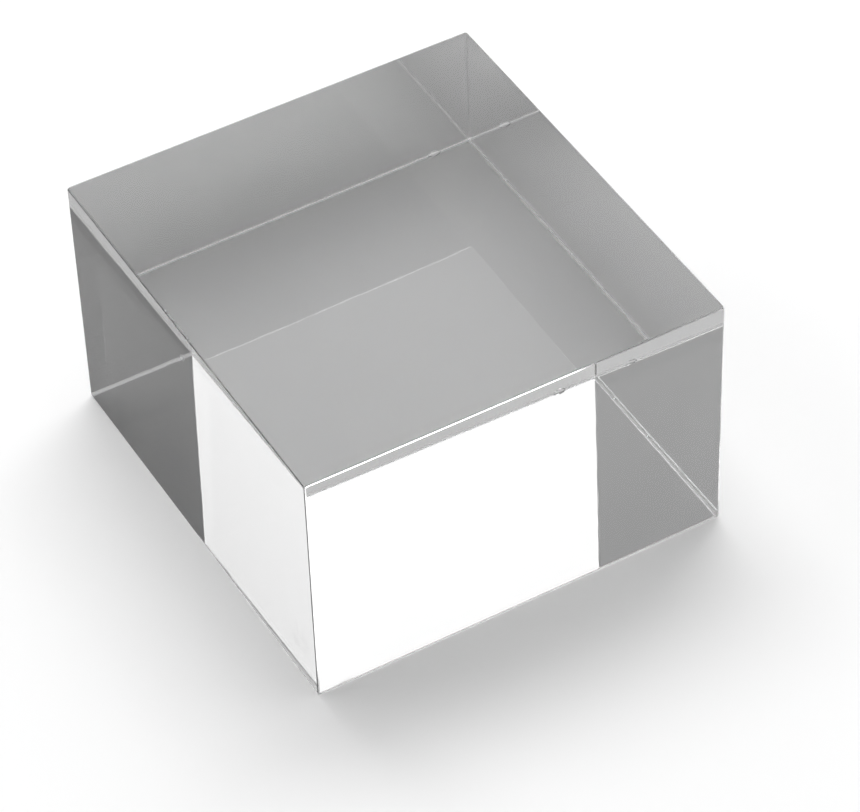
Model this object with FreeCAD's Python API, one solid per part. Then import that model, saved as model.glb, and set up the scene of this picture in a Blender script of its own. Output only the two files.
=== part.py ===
import FreeCAD, Part
import os

# Display block of clear cast acrylic: one solid piece, sawn from thick sheet and polished all over.
# Frame: X across the front, Y from front to back, Z up; the origin is the middle of the base.
# All sizes are in millimetres.

block_width = 101.6    # along X, 4 in
block_depth = 107.95   # along Y, 4 1/4 in
block_height = 63.5    # along Z, the thickness of the sheet, 2 1/2 in
edge_break = 0.4       # set-back on each face of the small flat that dulls every sharp edge


def acrylic_block():
    """The sawn block with its base centred on the origin and all its edges broken."""
    corner = FreeCAD.Vector(-block_width / 2, -block_depth / 2, 0)
    sawn = Part.makeBox(block_width, block_depth, block_height, corner)
    return sawn.makeChamfer(edge_break, sawn.Edges)


parts = {"acrylic_block": acrylic_block()}

os.makedirs("parts", exist_ok=True)
for node, shape in parts.items():
    shape.exportStep(f"parts/{node}.step")
    print(node, "valid", shape.isValid(), "volume", round(shape.Volume, 1), "mm3")
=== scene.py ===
import math

import bmesh
import bpy
from mathutils import Matrix, Vector, noise


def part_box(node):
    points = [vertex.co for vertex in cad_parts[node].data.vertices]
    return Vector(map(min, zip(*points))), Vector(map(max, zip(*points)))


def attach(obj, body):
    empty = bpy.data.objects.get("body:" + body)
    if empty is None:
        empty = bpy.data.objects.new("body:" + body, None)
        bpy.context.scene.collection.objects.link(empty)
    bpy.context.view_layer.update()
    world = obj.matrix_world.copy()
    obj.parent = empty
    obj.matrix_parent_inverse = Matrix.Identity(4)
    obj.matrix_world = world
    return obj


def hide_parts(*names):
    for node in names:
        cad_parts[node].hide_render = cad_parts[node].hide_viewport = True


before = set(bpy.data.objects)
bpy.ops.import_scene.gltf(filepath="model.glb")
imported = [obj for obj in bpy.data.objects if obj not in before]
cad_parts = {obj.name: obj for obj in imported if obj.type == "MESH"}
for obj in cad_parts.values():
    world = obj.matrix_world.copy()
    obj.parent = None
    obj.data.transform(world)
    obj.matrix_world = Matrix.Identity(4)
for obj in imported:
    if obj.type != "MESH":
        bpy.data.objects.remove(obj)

scene = bpy.context.scene
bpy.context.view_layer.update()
block_low, block_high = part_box("acrylic_block")


# The viewpoint: a long lens just under a metre off, above the front left corner, looking down.
# It is aimed at a point just off the block's own centre, and leans over a little.
view_distance = 0.924
view_azimuth = -28.547
view_elevation = 44.413
view_roll = -2.195
view_aim_offset = Vector((0.0024, -0.0109, -0.0085))
lens_mm = 175.5


def towards(azimuth, elevation):
    """Unit vector from the block to something that stands round it: azimuth 0 is straight in
    front of it, 90 to its right, and elevation is above the floor, in degrees."""
    side, up = math.radians(azimuth), math.radians(elevation)
    return Vector((math.sin(side) * math.cos(up), -math.cos(side) * math.cos(up), math.sin(up)))


block_centre = (block_low + block_high) / 2
camera_data = bpy.data.cameras.new("camera")
camera_data.sensor_width = 36
camera_data.lens = lens_mm
camera_data.clip_start = 0.05
camera_data.clip_end = 50
camera = bpy.data.objects.new("camera", camera_data)
scene.collection.objects.link(camera)
backwards = towards(view_azimuth, view_elevation)
upright = backwards.to_track_quat("Z", "Y").to_matrix().to_4x4()
lean = Matrix.Rotation(math.radians(view_roll), 4, "Z")
place = block_centre + view_aim_offset + backwards * view_distance
camera.matrix_world = Matrix.Translation(place) @ upright @ lean
scene.camera = camera


# The block: clear cast acrylic sawn from thick sheet, then milled and polished on all six faces.
# Every sharp edge is drawn down with a scraper and buffed nearly round. It is set back 0.4 mm on
# each face, a little more or less along its length, and comes down to an even, domed corner.
edge_break = 0.0004        # set-back of the scraped edge on each face
edge_wander = 0.20         # how much the set-back varies along an edge, as a share of it
edge_roundness = 0.85      # 0 is a flat chamfer, 0.83 is close to a quarter round
edge_facets = 6            # facets across the scraped edge
station_pitch = 0.0015     # distance between cross-sections along an edge
wander_pitch = 0.011       # length over which the scraper's pressure changes
wander_fade = 0.004        # the set-back evens out this close to a corner
corner_lift = 0.22         # how far a corner's dome stands out towards the sharp corner

block_mesh = bmesh.new()
made_vertices = {}


def vertex_at(point):
    """The block's vertex at this point, made once and shared by all the faces that meet there."""
    key = tuple(round(value * 1e7) for value in point)
    if key not in made_vertices:
        made_vertices[key] = block_mesh.verts.new(point)
    return made_vertices[key]


def side_of(axis, sign):
    """Where the face on that side of the block lies along its axis."""
    return block_high[axis] if sign > 0 else block_low[axis]


def scraped_edge(along, first, second, first_sign, second_sign):
    """The rows of vertices across one broken edge, from the first face over to the second."""
    start, end = block_low[along] + edge_break, block_high[along] - edge_break
    stations = round((end - start) / station_pitch)
    rows = []
    for station in range(stations + 1):
        reach = start + (end - start) * station / stations
        calm = min(1.0, (reach - start) / wander_fade, (end - reach) / wander_fade)
        setback = []
        for face in (0, 1):
            spot = Vector((reach / wander_pitch, 5 * along + face, 3 * first_sign + second_sign))
            setback.append(edge_break * (1 + edge_wander * calm * noise.noise(spot)))
        row = []
        for facet in range(edge_facets + 1):
            share = facet / edge_facets
            flat = 1 - edge_roundness * 2 * share * (1 - share)
            point = [0.0, 0.0, 0.0]
            point[along] = reach
            point[first] = side_of(first, first_sign) - first_sign * setback[1] * share * flat
            point[second] = side_of(second, second_sign) - second_sign * setback[0] * (1 - share) * flat
            row.append(vertex_at(point))
        rows.append(row)
    return rows


edge_rows = {}
for along, first, second in ((0, 1, 2), (1, 0, 2), (2, 0, 1)):
    for first_sign in (-1, 1):
        for second_sign in (-1, 1):
            rows = scraped_edge(along, first, second, first_sign, second_sign)
            edge_rows[along, first_sign, second_sign] = rows
            for here, there in zip(rows, rows[1:]):
                for facet in range(edge_facets):
                    block_mesh.faces.new((here[facet], here[facet + 1], there[facet + 1], there[facet]))


def rim(face_axis, face_sign, along, other, other_sign):
    """The vertices of one large face's rim where it meets the scraped edge on that side."""
    if face_axis < other:
        return [row[0] for row in edge_rows[along, face_sign, other_sign]]
    return [row[-1] for row in edge_rows[along, other_sign, face_sign]]


for face_axis, across, up in ((0, 1, 2), (1, 0, 2), (2, 0, 1)):
    for face_sign in (-1, 1):
        bottom = rim(face_axis, face_sign, across, up, -1)
        right = rim(face_axis, face_sign, up, across, 1)
        top = rim(face_axis, face_sign, across, up, 1)
        left = rim(face_axis, face_sign, up, across, -1)
        block_mesh.faces.new(bottom + right[1:] + top[-2::-1] + left[-2:0:-1])

for corner_signs in ((x, y, z) for x in (-1, 1) for y in (-1, 1) for z in (-1, 1)):
    x, y, z = corner_signs
    last = [-1 if sign > 0 else 0 for sign in corner_signs]
    over_z = edge_rows[2, x, y][last[2]]
    over_x = edge_rows[0, y, z][last[0]]
    over_y = edge_rows[1, x, z][last[1]]
    ring = over_z + over_x[1:] + over_y[-2:0:-1]
    middle = sum((vertex.co for vertex in ring), Vector()) / len(ring)
    corner = Vector([side_of(axis, corner_signs[axis]) for axis in range(3)])
    tip = vertex_at(middle.lerp(corner, corner_lift))
    for here, there in zip(ring, ring[1:] + ring[:1]):
        block_mesh.faces.new((here, there, tip))

bmesh.ops.recalc_face_normals(block_mesh, faces=block_mesh.faces)
block_data = bpy.data.meshes.new("clear_block")
block_mesh.to_mesh(block_data)
block_mesh.free()
block = bpy.data.objects.new("clear_block", block_data)
scene.collection.objects.link(block)


# Nicks: the few small chips that handling has knocked out of the block's edges, and one larger
# chip on the lower back edge near the right corner. Each is a shell-shaped bite out of the mesh.
nick_spacing = 0.004       # places along the edges where a nick could be
nick_share = 0.020         # the share of those places that have one
nick_smallest = (0.00030, 0.00028, 0.00030)
nick_largest = (0.00044, 0.00036, 0.00040)
chip_place = (block_high.x - 0.0095, block_high.y, block_low.z)
chip_size = (0.0017, 0.0009, 0.0008)
nick_seed = 11
sliver = 0.000001          # points closer than this after the cutting are merged


class Builder:
    """Adds nodes to a tree: one method makes any node, from its type, settings and sockets."""

    def __init__(self, tree):
        self.tree = tree

    def node(self, kind, settings=None, **sockets):
        made = self.tree.nodes.new(kind)
        for name, value in (settings or {}).items():
            setattr(made, name, value)
        for name, value in sockets.items():
            self.feed(self.find(made, name), value)
        return made

    @staticmethod
    def find(made, name):
        """The input socket with this name, written with _ for spaces, or i0, i1 by its place."""
        if name[0] == "i" and name[1:].isdigit():
            return made.inputs[int(name[1:])]
        wanted = name.replace("_", " ").lower()
        found = [s for s in made.inputs if s.name.lower() == wanted and s.enabled]
        if not found:
            raise KeyError(f"{made.bl_idname} has no input {name}")
        return found[0]

    def feed(self, socket, value):
        value = getattr(value, "socket", value)
        if isinstance(value, bpy.types.NodeSocket):
            self.tree.links.new(value, socket)
        else:
            socket.default_value = value


nick_tree = bpy.data.node_groups.new("edge_nicks", "GeometryNodeTree")
for name, kind in (
    ("Block", "NodeSocketGeometry"), ("Size", "NodeSocketVector"), ("Centre", "NodeSocketVector"),
    ("Spacing", "NodeSocketFloat"), ("Share", "NodeSocketFloat"), ("Smallest", "NodeSocketVector"),
    ("Largest", "NodeSocketVector"), ("Chip Place", "NodeSocketVector"), ("Chip Size", "NodeSocketVector"),
    ("Material", "NodeSocketMaterial"), ("Seed", "NodeSocketInt"),
):
    nick_tree.interface.new_socket(name=name, in_out="INPUT", socket_type=kind)
nick_tree.interface.new_socket(name="Block", in_out="OUTPUT", socket_type="NodeSocketGeometry")
gn = Builder(nick_tree)
given = gn.node("NodeGroupInput").outputs
outline = gn.node("GeometryNodeMeshCube", Size=given["Size"])
outline = gn.node("GeometryNodeTransform", Geometry=outline.outputs[0], Translation=given["Centre"])
lines = gn.node("GeometryNodeMeshToCurve", Mesh=outline.outputs[0])
spots = gn.node("GeometryNodeCurveToPoints", {"mode": "LENGTH"},
                Curve=lines.outputs[0], Length=given["Spacing"])
chosen = gn.node("FunctionNodeRandomValue", {"data_type": "BOOLEAN"},
                 Probability=given["Share"], Seed=given["Seed"])
spots = gn.node("GeometryNodeSeparateGeometry", {"domain": "POINT"},
                Geometry=spots.outputs["Points"], Selection=chosen.outputs[3])
size = gn.node("FunctionNodeRandomValue", {"data_type": "FLOAT_VECTOR"},
               Min=given["Smallest"], Max=given["Largest"], Seed=given["Seed"])
turn = gn.node("FunctionNodeRandomValue", {"data_type": "FLOAT_VECTOR"},
               Max=(math.tau,) * 3, Seed=given["Seed"])
shell = gn.node("GeometryNodeMeshIcoSphere", Radius=1.0, Subdivisions=3)
bites = gn.node("GeometryNodeInstanceOnPoints", Points=spots.outputs[0], Instance=shell.outputs[0],
                Rotation=turn.outputs[0], Scale=size.outputs[0])
bites = gn.node("GeometryNodeRealizeInstances", Geometry=bites.outputs[0])
chip = gn.node("GeometryNodeTransform", Geometry=shell.outputs[0],
               Translation=given["Chip Place"], Scale=given["Chip Size"])
cutters = gn.node("GeometryNodeJoinGeometry")
nick_tree.links.new(bites.outputs[0], cutters.inputs[0])
nick_tree.links.new(chip.outputs[0], cutters.inputs[0])
nicked = gn.node("GeometryNodeMeshBoolean", {"operation": "DIFFERENCE", "solver": "EXACT"},
                 i0=given["Block"], i1=cutters.outputs[0])
whole = gn.node("GeometryNodeRealizeInstances", Geometry=nicked.outputs[0])
clad = gn.node("GeometryNodeSetMaterial", Geometry=whole.outputs[0], Material=given["Material"])
gn.node("NodeGroupOutput", Block=clad.outputs[0])


# Clear acrylic: index 1.49, buffed to a gloss. Up close it has the soft ripple and fine lines of
# the buffing wheel, a satin look on the scraped edges, and what handling leaves: hairline
# scratches on the top, two finger marks low on the sides, a bloom on the left edge and dust.
acrylic_index = 1.491
clear_tint = 0.93              # share of the light left after one pass through the block
red_lost, blue_lost = 0.002, 0.001    # thick acrylic is a trace less clear to these than to green
cloud_pitch = 0.030            # size of the faint clouds in the cast sheet
cloud_depth = 0.012
ripple_pitch = 0.016           # how far apart the waves of the buffed faces are
ripple_height = 0.000020
buffing_pitch = 0.0006         # how far apart the lines left by the buffing wheel are
buffing_height = 0.00000003
wave_width = 0.31              # how far apart a wave texture's bands are at a scale of 1
scraped_width = 0.00055        # the faintly satin band along each edge
scraped_roughness = 0.20
rubbed_width = 0.0009          # the wider, duller band that standing gives the lower edges
rubbed_roughness = 0.50
dust_pitch = 0.0060            # one speck in a cube of this size, where there is one
dust_size = 0.00016
dust_share = 0.22
dust_darkness = 0.45
top_skin = 0.0002              # depth below the top face that still counts as the top
scratch_width = 0.00010
scratch_taper = 0.25           # the share of a scratch's length that it fades over at each end
scratch_roughness = 0.12
top_scratches = (
    ((-0.0090, 0.0302), (0.0065, 0.0270)),
    ((0.0035, 0.0278), (0.0262, 0.0221)),
    ((-0.0020, 0.0246), (0.0121, 0.0222)),
    ((0.0152, 0.0262), (0.0198, 0.0216)),
    ((-0.0310, -0.0120), (-0.0225, -0.0165)),
)
blotch_pitch = 0.0016          # size of the blotches that a smudge breaks up into
blotch_start, blotch_full = 0.40, 0.62
smudges = (
    # place, half widths, roughness it gives
    ((block_low.x, -0.0468, 0.0109), (0.004, 0.0085, 0.0075), 0.22),
    ((-0.0305, block_low.y, 0.0060), (0.0150, 0.004, 0.0065), 0.12),
    ((-0.0499, 0.0008, block_high.z), (0.0075, 0.0130, 0.004), 0.24),
    ((0.0250, 0.0400, block_high.z), (0.0190, 0.0110, 0.004), 0.12),
)


class Wire:
    """A socket as a number to work with: each sum or product on it adds a Math node."""

    def __init__(self, builder, socket):
        self.builder = builder
        self.socket = socket

    def joined(self, operation, first, second):
        made = self.builder.node("ShaderNodeMath", {"operation": operation}, i0=first, i1=second)
        return Wire(self.builder, made.outputs[0])

    def __add__(self, other):
        return self.joined("ADD", self, other)

    def __radd__(self, other):
        return self.joined("ADD", other, self)

    def __sub__(self, other):
        return self.joined("SUBTRACT", self, other)

    def __rsub__(self, other):
        return self.joined("SUBTRACT", other, self)

    def __mul__(self, other):
        return self.joined("MULTIPLY", self, other)

    def __rmul__(self, other):
        return self.joined("MULTIPLY", other, self)


acrylic = bpy.data.materials.new("clear_acrylic")
acrylic.use_nodes = True
clear = Builder(acrylic.node_tree)
body = acrylic.node_tree.nodes["Principled BSDF"]
body.inputs["IOR"].default_value = acrylic_index
body.inputs["Transmission Weight"].default_value = 1.0
spot = clear.node("ShaderNodeTexCoord").outputs["Object"]
axes = clear.node("ShaderNodeSeparateXYZ", Vector=spot).outputs


def ramp(value, start, end):
    """0 before start, 1 beyond end and a smooth rise between them. The end may be the lower one."""
    if start < end:
        made = clear.node("ShaderNodeMapRange", {"interpolation_type": "SMOOTHSTEP"},
                          Value=value, From_Min=start, From_Max=end)
        return Wire(clear, made.outputs[0])
    return 1 - ramp(value, end, start)


def noise_at(pitch, detail=2.0):
    """Smooth noise from 0 to 1 with features about this far apart."""
    made = clear.node("ShaderNodeTexNoise", Vector=spot, Scale=1 / pitch, Detail=detail)
    return Wire(clear, made.outputs[0])


def near_side(axis, width):
    """1 on the block's two faces across this axis, fading out this far inside them."""
    half = (block_high[axis] - block_low[axis]) / 2
    centred = Wire(clear, axes[axis]) - block_centre[axis]
    out = clear.node("ShaderNodeMath", {"operation": "ABSOLUTE"}, i0=centred).outputs[0]
    return ramp(out, half - width, half - width * 0.45)


def smudge(place, half_widths):
    """A blotchy oval about a place on the surface, 1 in its middle and 0 outside it."""
    away = clear.node("ShaderNodeVectorMath", {"operation": "SUBTRACT"}, i0=spot, i1=place).outputs[0]
    scaled = clear.node("ShaderNodeVectorMath", {"operation": "DIVIDE"}, i0=away, i1=half_widths).outputs[0]
    reach = clear.node("ShaderNodeVectorMath", {"operation": "LENGTH"}, i0=scaled).outputs["Value"]
    return ramp(reach, 1.0, 0.25) * ramp(blotches, blotch_start, blotch_full)


def scratch(start, end):
    """A hairline on the top face from one point to another, fading towards its ends."""
    (x0, y0), (x1, y1) = start, end
    length = math.hypot(x1 - x0, y1 - y0)
    along_x, along_y = (x1 - x0) / length, (y1 - y0) / length
    x, y = Wire(clear, axes[0]) - x0, Wire(clear, axes[1]) - y0
    gone = x * along_x + y * along_y
    aside = y * along_x - x * along_y
    off_line = clear.node("ShaderNodeMath", {"operation": "ABSOLUTE"}, i0=aside).outputs[0]
    ends = ramp(gone, 0.0, length * scratch_taper) * ramp(gone, length, length * (1 - scratch_taper))
    return ends * ramp(off_line, scratch_width, scratch_width * 0.3)


blotches = noise_at(blotch_pitch, 3.0)
beside, ahead, level = [near_side(axis, scraped_width) for axis in (0, 1, 2)]
scraped = beside * ahead + ahead * level + beside * level
low = ramp(axes[2], block_low.z + rubbed_width, block_low.z + rubbed_width * 0.3)
rubbed = low * (near_side(0, rubbed_width) + near_side(1, rubbed_width))
on_top = ramp(axes[2], block_high.z - top_skin, block_high.z - top_skin / 2)
hairlines = on_top * sum(scratch(start, end) for start, end in top_scratches)
marks = sum(strength * smudge(place, half_widths) for place, half_widths, strength in smudges)
roughness = clear.node("ShaderNodeMath", {"operation": "ADD", "use_clamp": True},
                       i0=scraped * scraped_roughness + rubbed * rubbed_roughness,
                       i1=marks + scratch_roughness * hairlines)
clear.feed(body.inputs["Roughness"], roughness.outputs[0])

cells = clear.node("ShaderNodeTexVoronoi", Vector=spot, Scale=1 / dust_pitch)
drawn = clear.node("ShaderNodeSeparateColor", Color=cells.outputs["Color"]).outputs[0]
specks = ramp(cells.outputs["Distance"], dust_size / dust_pitch, dust_size / dust_pitch * 0.5)
specks = specks * ramp(drawn, 1 - dust_share, 1 - dust_share + 0.01)
shade = clear_tint + cloud_depth * (noise_at(cloud_pitch) - 0.5) - dust_darkness * specks
tint = clear.node("ShaderNodeCombineColor", Red=shade - red_lost, Green=shade, Blue=shade - blue_lost)
clear.feed(body.inputs["Base Color"], tint.outputs[0])

buffing = clear.node("ShaderNodeTexWave", {"bands_direction": "Z"}, Vector=spot,
                     Scale=wave_width / buffing_pitch, Distortion=6.0, Detail=2.0)
height = ripple_height * noise_at(ripple_pitch) + buffing_height * Wire(clear, buffing.outputs["Fac"])
relief = clear.node("ShaderNodeBump", Strength=1.0, Distance=1.0, Height=height)
clear.feed(body.inputs["Normal"], relief.outputs[0])

cut = block.modifiers.new("edge_nicks", "NODES")
cut.node_group = nick_tree
chosen_values = {
    "Size": block_high - block_low, "Centre": block_centre, "Spacing": nick_spacing, "Share": nick_share,
    "Smallest": nick_smallest, "Largest": nick_largest, "Chip Place": chip_place, "Chip Size": chip_size,
    "Material": acrylic, "Seed": nick_seed,
}
for item in nick_tree.interface.items_tree:
    if item.in_out == "INPUT" and item.name in chosen_values:
        cut[item.identifier] = chosen_values[item.name]
depsgraph = bpy.context.evaluated_depsgraph_get()
finished = bpy.data.meshes.new_from_object(block.evaluated_get(depsgraph))
block.modifiers.remove(cut)
block.data = finished
cleaned = bmesh.new()
cleaned.from_mesh(finished)
bmesh.ops.remove_doubles(cleaned, verts=cleaned.verts, dist=sliver)
bmesh.ops.dissolve_degenerate(cleaned, edges=cleaned.edges, dist=sliver)
cleaned.to_mesh(finished)
cleaned.free()
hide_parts("acrylic_block")
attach(block, "root")


# The studio: a plain pale paper floor, which the block stands on with a hair of air under it.
# Seen directly the paper is painted brighter, to white, which is painted light; what it hands on to the
# block is its softer plain white.
floor_size = 12.0
air_gap = 0.0001
paper_painted_white_seen_directly = 0.95
paper_handed_on = 0.58
bpy.ops.mesh.primitive_plane_add(size=floor_size, location=(0, 0, block_low.z - air_gap))
floor = bpy.context.object
floor.name = "studio_floor"
paper = bpy.data.materials.new("pale_paper")
paper.use_nodes = True
sheet = Builder(paper.node_tree)
direct = Wire(sheet, sheet.node("ShaderNodeLightPath").outputs["Is Camera Ray"])
paper_shader = paper.node_tree.nodes["Principled BSDF"]
# Painted light: rays from the camera get the brighter paper colour, all other rays the darker one.
sheet.feed(paper_shader.inputs["Base Color"], paper_handed_on + (paper_painted_white_seen_directly - paper_handed_on) * direct)
paper_shader.inputs["Roughness"].default_value = 0.9
paper_shader.inputs["Specular IOR Level"].default_value = 0.0
floor.data.materials.append(paper)


# The light: a large soft key high behind the block, plain panels round it, and a dim pale room.
# A black flag hangs in front to the right: it keeps the room out of the block's left side.
room_radiance = 0.345
light_bounces = 24             # enough for light that is mirrored many times inside the block
flag_side = 0.95
flag_azimuth, flag_elevation = 26, 44
stand_off = 2.0                # how far the panels and the flag are from the block
room = bpy.data.worlds.new("dim_room")
room.use_nodes = True
room.node_tree.nodes["Background"].inputs["Color"].default_value = (1, 1, 1, 1)
room.node_tree.nodes["Background"].inputs["Strength"].default_value = room_radiance
scene.world = room


def facing_block(azimuth, elevation):
    """The placing of something flat that faces the block from that direction."""
    outwards = towards(azimuth, elevation)
    turned = outwards.to_track_quat("Z", "Y").to_matrix().to_4x4()
    return Matrix.Translation(block_centre + outwards * stand_off) @ turned


def softbox(name, azimuth, elevation, width, height, radiance):
    """A soft rectangular light that faces the block from that direction."""
    data = bpy.data.lights.new(name, "AREA")
    data.shape = "RECTANGLE"
    data.size, data.size_y = width, height
    data.energy = radiance * math.pi * width * height
    light = bpy.data.objects.new(name, data)
    scene.collection.objects.link(light)
    light.matrix_world = facing_block(azimuth, elevation)


# name, azimuth, elevation, width, height, radiance
softbox("key_softbox", 155, 64, 1.7, 0.80, 4.7)
softbox("overhead_softbox", 165, 84, 1.0, 0.90, 2.15)
softbox("front_overhead_panel", 40, 66, 1.6, 0.80, 1.13)
softbox("back_panel", 146, 44, 1.1, 0.62, 0.84)
softbox("back_left_panel", 180, 44, 0.56, 0.62, 0.85)
softbox("left_panel", 236, 42, 1.15, 0.70, 2.0)
softbox("back_right_panel", 112, 44, 0.60, 0.60, 1.6)

bpy.ops.mesh.primitive_plane_add(size=flag_side)
flag = bpy.context.object
flag.name = "black_flag"
flag.matrix_world = facing_block(flag_azimuth, flag_elevation)
cloth = bpy.data.materials.new("black_cloth")
cloth.use_nodes = True
cloth_shader = cloth.node_tree.nodes["Principled BSDF"]
cloth_shader.inputs["Base Color"].default_value = (0.01, 0.01, 0.01, 1)
cloth_shader.inputs["Roughness"].default_value = 1.0
cloth_shader.inputs["Specular IOR Level"].default_value = 0.0
flag.data.materials.append(cloth)

scene.view_settings.view_transform = "Standard"
scene.cycles.use_denoising = True
scene.cycles.max_bounces = light_bounces
scene.cycles.transmission_bounces = light_bounces
scene.cycles.glossy_bounces = light_bounces
